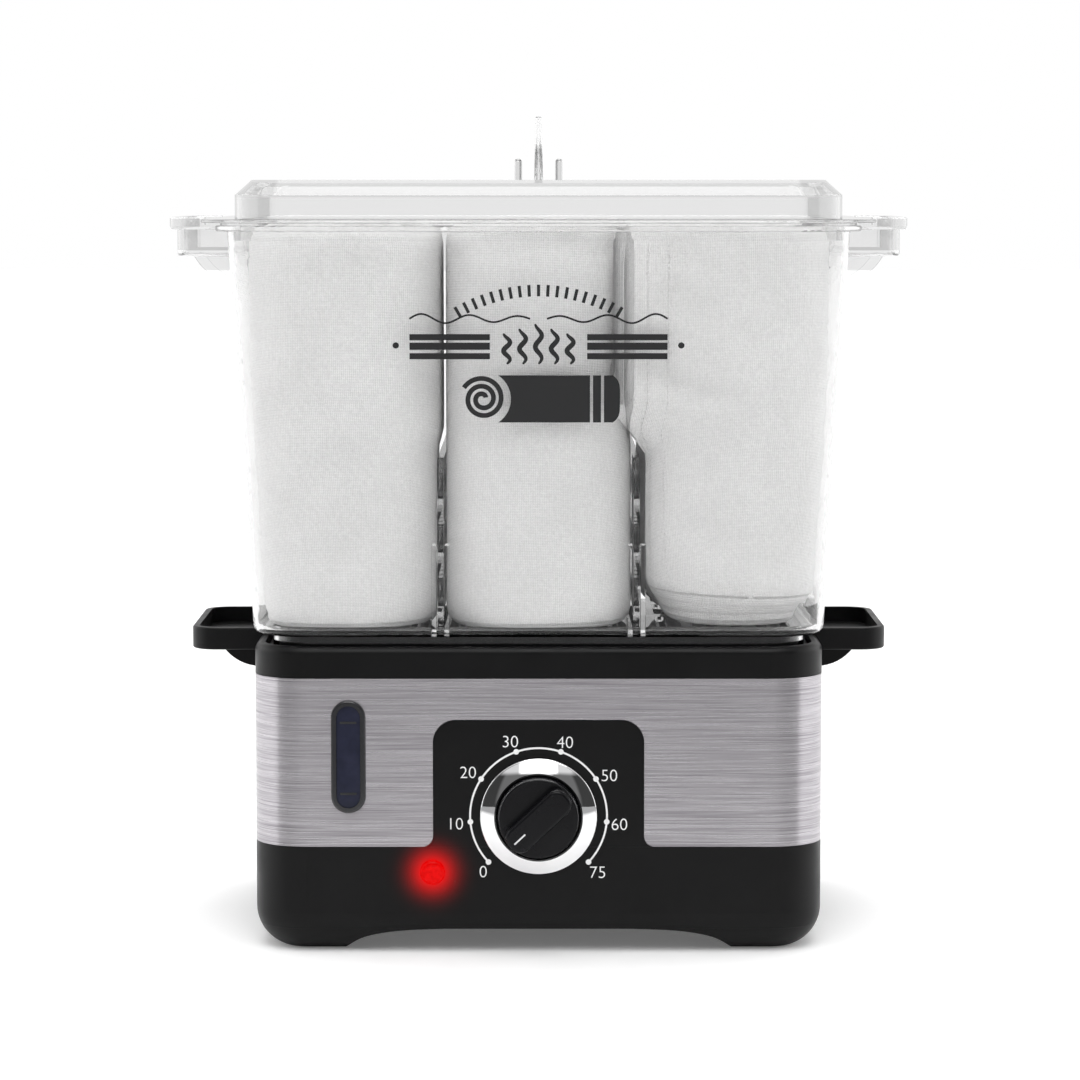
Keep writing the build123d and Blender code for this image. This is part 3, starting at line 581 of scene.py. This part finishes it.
class Roll:
    """One folded towel, rolled from its short end: where each point of the cloth lies.

    s runs along the cloth from its outer end, n through the folded cloth from -HALF to HALF
    and h up it. flap is how far the outer end hangs off the roll, straight along the front."""

    def __init__(self, seed, start, low_x, high_x, flap=0.0, creases=(), oval=0.1, bulge=0.0):
        self.seed, self.start, self.flap, self.creases = seed, start, flap, creases
        self.low_x, self.high_x, self.oval, self.bulge = low_x, high_x, oval, bulge
        q = np.linspace(start, start + 17.5, 9000)
        x, y, nx, ny = capsule(q, self.width(q))
        step = np.hypot(np.diff(x), np.diff(y))
        self.q, self.s = q, flap + np.concatenate([[0], np.cumsum(step)])
        turning = np.concatenate([[0], np.cumsum(np.abs(np.diff(np.unwrap(np.arctan2(ny, nx)))))])
        self.turning = turning

    def width(self, q):
        """Each turn steps in under its outer end, the first one late and the others evenly."""
        turn = (q - self.start) / 4
        whole, part = np.floor(turn), turn - np.floor(turn)
        late, later = smoothstep(part, 0.70, 0.90), smoothstep(part, 0.4, 0.95)
        step = np.select([whole <= 0, whole == 1], [late, later], part)
        return ROLL_HALF - HALF - PITCH * (np.maximum(whole, 0) + step)

    def columns(self):
        """Places along the cloth, closer together round the tight inner turns."""
        near = np.arange(0, 0.045, 0.0011) if self.flap else np.array([0.0])
        inside = self.s < CLOTH_LENGTH
        measure = self.s[inside] + 0.011 * self.turning[inside]
        count = int((measure[-1] - measure[0]) / 0.0031)
        rest = np.interp(np.linspace(measure[0], measure[-1], count), measure, self.s[inside])
        if self.flap:
            bridge = np.arange(0.045, self.s[0] - 0.002, 0.003)
            return np.concatenate([near, bridge, rest])
        return rest

    def place(self, s, n, h, z):
        """The point for each s, n and z; h is the height along the cloth from its lower edge."""
        q = np.interp(s, self.s, self.q)
        x, y, nx, ny = capsule(q, self.width(q))
        if self.flap:
            back = self.flap - s
            straight = smoothstep(z, *FLAP_FREE)
            bend = np.maximum((1 - straight) / (ROLL_HALF - HALF), 0.05)
            angle = bend * np.maximum(back, 0)
            loose = smoothstep(back, -0.02, 0.012)
            thin = 1 - 0.35 * loose
            off = back > 0
            tip_y = -ROLL_STRAIGHT - (ROLL_HALF - HALF)
            x = np.where(off, -np.sin(angle) / bend, x)
            y = np.where(off, tip_y + (1 - np.cos(angle)) / bend, y)
            nx = np.where(off, -np.sin(angle), nx)
            ny = np.where(off, -np.cos(angle), ny)
            x, y = x + thin * n * nx, y + thin * n * ny - 2.6 * MM * loose * straight
        else:
            x, y = x + n * nx, y + n * ny
        reach_y = ROLL_HALF + ROLL_STRAIGHT
        past = np.maximum(np.abs(y) - ROLL_STRAIGHT, 0)
        size = np.hypot(x, past) + 1e-9
        square = (np.abs(x / size) ** SQUARE + (past / size) ** SQUARE) ** (-1 / SQUARE)
        if self.flap:
            square = 1 + (square - 1) * (1 - straight * smoothstep(self.flap - s, 0, 0.006))
        square = np.where(past > 0, square, 1)
        x, y = x * square, y + np.sign(y) * past * (square - 1)
        end = np.minimum(h, FOLDED - h)
        pull = 1 - 0.06 * np.clip(1 - end / END_ROUND, 0, 1) ** 2
        x = x * (1 - self.oval * (y / reach_y) ** 2) * pull
        y = y * (1 - (1 - pull) * 0.7)
        half_w, half_d = chamber_half(z)
        above = smoothstep(z, PLATE_TOP, LEAN_RISE)
        bulge = self.bulge * above
        reach = np.minimum(half_w - CHAMBER_WALL - 1 * MM, REACH_X)
        low = np.maximum(self.low_x - bulge, -reach)
        high = np.minimum(self.high_x + bulge, reach)
        front = -np.minimum(half_d - CHAMBER_WALL - 3.4 * MM, REACH_Y)
        middle_x, middle_y = (low + high) / 2, (front + ROLL_BACK) / 2
        x = middle_x + x / ROLL_HALF * (high - low) / 2
        y = middle_y + y / reach_y * (ROLL_BACK - front) / 2
        weave = 1.1 * MM * np.sin((y + 0.035) * 62.0) * above
        if not self.bulge:  # the middle roll stays clear of the plates on both its sides
            weave = np.where(x < 0, np.maximum(weave, 0), np.minimum(weave, 0))
        beside = smoothstep(np.abs(x), 0.030, 0.044) * (1 - smoothstep(np.abs(x), 0.052, 0.075))
        return self.settle(x + weave * beside, y, z, low, high, front)

    def settle(self, x, y, z, low, high, front):
        """Soft unevenness and creases, kept off the plates and walls beside the roll."""
        inside = np.clip(np.minimum(x - low, high - x) / (12 * MM), 0, 1)
        sway = waves(x, y, z, self.seed, (0.11, 0.065), 1.0 * MM)
        shift = waves(x, y, z, self.seed + 1, (0.10, 0.055), 0.9 * MM)
        ripple = waves(x, y, z, self.seed + 2, (0.024, 0.017), 0.22 * MM)
        near_front = np.exp(-np.clip(y - front, 0, 1) / (16 * MM))
        y = y + inside * shift + near_front * ripple
        x = x + inside * sway
        for x0, z0, x1, z1, depth, wide in self.creases:
            run = np.array([x1 - x0, z1 - z0]) * MM
            along = ((x - x0 * MM) * run[0] + (z - z0 * MM) * run[1]) / (run @ run)
            off = ((x - x0 * MM) * -run[1] + (z - z0 * MM) * run[0]) / np.hypot(*run)
            fade = smoothstep(along, -0.25, 0.2) * (1 - smoothstep(along, 0.8, 1.25))
            y = y + depth * MM * fade * near_front * np.exp(-((off / (wide * MM)) ** 2))
        return x, np.maximum(y, front - 3.0 * MM), z


def cloth_section():
    """The folded cloth's outline, as (n, h, length so far): up outside, over, down, and back."""
    rise = np.linspace(3 * MM, FOLDED - HALF, 42)
    over = np.linspace(0, math.pi, 13)[1:-1]
    channel = np.linspace(3 * MM, FOLDED - HALF, 12)
    gap = LAYER_GAP / 2
    hem = np.linspace(0, math.pi, 9)[1:-1]
    round_half, centre = LAYER / 2, gap + LAYER / 2
    parts = [
        (np.full(42, HALF), rise),
        (HALF * np.cos(over), FOLDED - HALF + HALF * np.sin(over)),
        (np.full(42, -HALF), rise[::-1]),
        (-centre - round_half * np.cos(hem), 3 * MM - 3 * MM * np.sin(hem)),
        (np.full(12, -gap), channel),
        (np.full(12, gap), channel[::-1]),
        (centre - round_half * np.cos(hem), 3 * MM - 3 * MM * np.sin(hem)),
    ]
    n, h = (np.concatenate([part[k] for part in parts]) for k in (0, 1))
    length = np.concatenate([[0], np.cumsum(np.hypot(np.diff(n), np.diff(h)))])
    return n, h, length


def towel(name, roll, body, lift, top, end_skew=0.0, hem=False):
    """The cloth of one roll as a closed mesh, with a UV in metres of cloth."""
    n, h, length = cloth_section()
    s = roll.columns()
    s_all, n_all = np.meshgrid(s, n, indexing="ij")
    h_all = np.broadcast_to(h, s_all.shape)
    outer = (n_all / HALF + 1) / 2
    s_all = s_all + end_skew * outer * np.clip(1 - s_all / 0.06, 0, 1)
    if hem:
        step = 1 - smoothstep(s_all - end_skew * outer, 8.6 * MM, 9.8 * MM)
        n_all = n_all + np.sign(n_all) * 0.55 * MM * step * (np.abs(n_all) > 2 * MM)
    low = lift(s_all, outer)
    high = top(s_all)
    z = low + h_all / FOLDED * (high - low)
    x, y, z = roll.place(s_all, n_all, h_all, z)
    points = np.stack([x, y, z], -1).reshape(-1, 3)
    columns, rows = s_all.shape
    faces = []
    for i in range(columns - 1):
        for k in range(rows):
            a, b = i * rows + k, i * rows + (k + 1) % rows
            faces.append([a, a + rows, b + rows, b])
    faces.append(list(range(rows)))
    faces.append([(columns - 1) * rows + k for k in reversed(range(rows))])
    mesh = mesh_from(name, points, faces)
    uv = mesh.uv_layers.new(name="cloth")
    spot = np.array([loop.vertex_index for loop in mesh.loops])
    cloth = np.stack([s_all.reshape(-1), np.tile(length, columns)], 1)[spot]
    uv.data.foreach_set("uv", cloth.reshape(-1))
    made = bmesh.new()
    made.from_mesh(mesh)
    caps = [f for f in made.faces if len(f.verts) > 4]
    bmesh.ops.triangulate(made, faces=caps, ngon_method="EAR_CLIP")
    bmesh.ops.recalc_face_normals(made, faces=made.faces)
    made.to_mesh(mesh)
    made.free()
    piece = new_piece(name, mesh, body, "towel_cloth")
    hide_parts(body)
    return piece


FLOOR_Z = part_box("towel_middle")[0].z
ROLL_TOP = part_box("towel_middle")[1].z
BAY = 45.2 * MM, 48.8 * MM  # sides of the middle roll and the outer rolls beside the dividers
OVERHANG = 3.0 * MM  # how far an outer roll leans in above its divider


def level(s, outer):
    return FLOOR_Z + 0.6 * MM * (1 + np.sin(s * 31.0)) + 0 * outer


def telescoped(s, outer):
    """The right roll's outer turn stands off the floor, its outer layer more than the inner."""
    turn = 1 - smoothstep(s, 0.30, 0.40)
    slope = 6.0 * MM * np.exp(-s / 0.035)
    return FLOOR_Z + 0.8 * MM + turn * (3.6 * MM + outer * 8.2 * MM + slope)


def crown(seed, rise=0.0):
    return lambda s: ROLL_TOP - 1.4 * MM + rise + 1.3 * MM * np.sin(s * 23.0 + seed)


# Each crease runs from (x, z) to (x, z), in millimetres, with its depth and its width
ROLLS = {
    "left": Roll(
        11, 1.45, -1.0, -BAY[1], oval=0.03, bulge=OVERHANG,
        creases=[
            (-118, 322, -84, 334, 1.6, 7), (-96, 236, -62, 248, 1.4, 8),
            (-120, 200, -90, 188, 1.5, 7), (-112, 276, -98, 252, 1.2, 8),
            (-60, 345, -56, 322, 1.6, 5),
        ],
    ),
    "middle": Roll(
        23, 1.5, -BAY[0], BAY[0], oval=0.03,
        creases=[
            (-34, 339, 20, 341, 3.0, 5), (8, 343, 40, 334, 2.4, 4), (-30, 218, 4, 226, 1.2, 8),
            (10, 200, 38, 236, 1.8, 7), (-48, 344, -37, 335, 7.0, 3.5),
            (-37, 335, -45, 326, 6.0, 3), (43, 346, 34, 336, 5.0, 3.5),
            (-40, 262, -30, 240, 1.5, 6),
        ],
    ),
    "right": Roll(
        37, 3.5, BAY[1], 1.0, flap=55 * MM, oval=0.0, bulge=OVERHANG,
        creases=[
            (50, 281, 90, 267, 3.0, 4.5), (60, 317, 104, 297, 2.2, 7),
            (112, 334, 108, 194, 1.6, 7), (60, 210, 92, 194, 2.0, 7), (58, 242, 84, 231, 1.6, 6),
            (56, 294, 66, 272, 2.2, 4), (66, 340, 84, 328, 2.0, 5),
        ],
    ),
}
SHEETS = {
    "left": towel("towel_left_cloth", ROLLS["left"], "towel_left", level, crown(0.4)),
    "middle": towel(
        "towel_middle_cloth", ROLLS["middle"], "towel_middle", level, crown(2.0, 2.2 * MM)
    ),
    "right": towel(
        "towel_right_cloth", ROLLS["right"], "towel_right", telescoped, crown(1.1),
        end_skew=8.4 * MM, hem=True,
    ),
}


def lean_back(piece):
    """Gives the piece its own copy of its mesh."""
    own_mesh(piece)


def hem_stitches():
    """Short stitches along the hem at the right roll's outer end."""
    roll, points, faces = ROLLS["right"], [], []
    heights = np.arange(0.012, FOLDED - 0.010, 2.9 * MM)
    ring = np.linspace(0, TAU, 9)[:-1]
    profile = [(-1.0, 0.35), (-0.7, 0.85), (0.0, 1.0), (0.7, 0.85), (1.0, 0.35)]
    for row, proud in ((14.6 * MM, 0.62 * MM), (24.0 * MM, 0.05 * MM)):
        for height in heights:
            start = len(points)
            for along, size in profile:
                h = height + along * 0.85 * MM
                for turn in ring:
                    s = row + 0.24 * MM * size * math.cos(turn)
                    n = HALF + proud + 0.2 * MM * size * math.sin(turn)
                    low = telescoped(np.array(s), np.array(1.0))
                    z = low + h / FOLDED * (crown(1.1)(s) - low)
                    x, y, z = roll.place(np.array(s), np.array(n), np.array(h), z)
                    points.append((float(x), float(y), float(z)))
            for i in range(len(profile) - 1):
                for k in range(8):
                    a, b = start + i * 8 + k, start + i * 8 + (k + 1) % 8
                    faces.append([a, b, b + 8, a + 8])
            faces.append([start + k for k in reversed(range(8))])
            faces.append([start + 8 * (len(profile) - 1) + k for k in range(8)])
    mesh = mesh_from("hem_stitches", points, faces)
    mesh.uv_layers.new(name="cloth")
    return new_piece("hem_stitches", mesh, "towel_right", "towel_cloth")


stitches = hem_stitches()
for side, piece in (("left", SHEETS["left"]), ("right", SHEETS["right"]), ("right", stitches)):
    lean_back(piece)


# ---------------------------------------------------------------- studio
def studio_floor():
    """A wide pale floor; what the metal mirrors of it is darker beyond the sweep in front."""
    look = Look("studio_floor")
    tone = look.tint(look.noise(3.0, 3), (0.93, 0.93, 0.93), (0.95, 0.95, 0.95))
    toward = look.node("SeparateXYZ", {0: look.place}).outputs[1]
    far = look.between(toward, 1, 0, -0.62, -0.42)
    path = look.node("LightPath").outputs
    for kind in ("Is Glossy Ray", "Is Reflection Ray"):
        far = look.math("MULTIPLY", far, path[kind])
    seen = look.node("Mix", {0: far, 6: tone, 7: (0.30, 0.30, 0.305, 1)}, data_type="RGBA")
    look.done(
        look.surface(
            {
                "Base Color": seen.outputs[2],
                "Roughness": look.between(look.noise(40, 2), 0.5, 0.62),
                "Specular IOR Level": 0.3,
                "Emission Color": (1.0, 1.0, 1.0, 1.0),
                "Emission Strength": look.math("MULTIPLY", path["Is Camera Ray"], 0.12),
            }
        )
    )
    reach, cuts = 14.0, 24
    row = cuts + 1
    points = [
        (reach * (i / cuts * 2 - 1), reach * (k / cuts * 2 - 1), 0.0)
        for k in range(row)
        for i in range(row)
    ]
    corners = [k * row + i for k in range(cuts) for i in range(cuts)]
    faces = [[a, a + 1, a + row + 1, a + row] for a in corners]
    floor = bpy.data.objects.new("studio_floor", mesh_from("studio_floor", points, faces))
    bpy.context.scene.collection.objects.link(floor)
    floor.data.materials.append(look.material)


# Brightness of the front wall, the flags beside it, the sides, the rear, the softbox and the
# rest of the top
MID, DARK, BRIGHT, REAR, TOP, HIGH = 0.56, 0.05, 2.0, 0.86, 3.4, 0.78
MIRRORED = 0.17  # what gloss and metal mirror of the front wall
THROUGH = 0.76, 0.86  # darkest and brightest that clear plastic shows of the studio


def studio_light():
    """White all round, with a softer grey front wall between two dark flags, and a softbox above.

    The camera itself sees plain white."""
    world = bpy.data.worlds.new("studio")
    bpy.context.scene.world = world
    nodes = Nodes(world)
    node, maths = nodes.node, nodes.math

    def step(value, start, end, low=0.0, high=1.0):
        made = node(
            "MapRange",
            {"Value": value, "From Min": start, "From Max": end, "To Min": low, "To Max": high},
            interpolation_type="SMOOTHSTEP",
        )
        return made.outputs[0]

    def blend(factor, low, high):
        made = node("Mix", {0: factor, 2: low, 3: high}, data_type="FLOAT")
        return made.outputs[0]

    split = node("SeparateXYZ", {0: node("TexCoord").outputs["Generated"]})
    x, y, z = split.outputs
    flat = maths("SQRT", maths("ADD", maths("MULTIPLY", x, x), maths("MULTIPLY", y, y)))
    sideways = maths("DIVIDE", maths("ABSOLUTE", x), maths("MAXIMUM", flat, 0.001))
    in_front = step(y, 0.05, -0.05)
    path = node("LightPath").outputs
    front = blend(path["Is Glossy Ray"], MID, MIRRORED)
    wall = blend(step(sideways, 0.60, 0.68), front, DARK)
    wall = blend(step(sideways, 0.90, 0.96), wall, BRIGHT)
    wall = blend(in_front, blend(step(sideways, 0.50, 0.75), REAR, BRIGHT), wall)
    softbox = maths("MULTIPLY", step(maths("ABSOLUTE", x), 0.34, 0.24), step(y, 0.30, 0.20))
    wall = blend(step(z, 0.50, 0.60), wall, blend(softbox, HIGH, TOP))
    soft = maths("MINIMUM", maths("MAXIMUM", wall, THROUGH[0]), THROUGH[1])
    through = maths("GREATER_THAN", path["Transmission Depth"], 0.5)
    through = maths("GREATER_THAN", through, path["Is Diffuse Ray"])
    wall = blend(through, wall, soft)
    strength = blend(path["Is Camera Ray"], wall, 1.0)
    background = node("Background", {"Color": (1, 1, 1, 1), "Strength": strength})
    node("OutputWorld", {0: background.outputs[0]})


def camera():
    """A long lens, a little above the steamer and looking slightly down."""
    data = bpy.data.cameras.new("camera")
    data.sensor_width, data.lens = 36.0, 126.26
    data.clip_start, data.clip_end = 0.05, 60
    eye = bpy.data.objects.new("camera", data)
    eye.location = Vector((0.0007, -1.9025, 0.3705))
    aim = Vector((0.0007, -0.1025, 0.2001))
    eye.rotation_euler = (aim - eye.location).to_track_quat("-Z", "Y").to_euler()
    bpy.context.scene.collection.objects.link(eye)
    bpy.context.scene.camera = eye


studio_floor()
studio_light()
camera()
bpy.context.scene.view_settings.view_transform = "Standard"
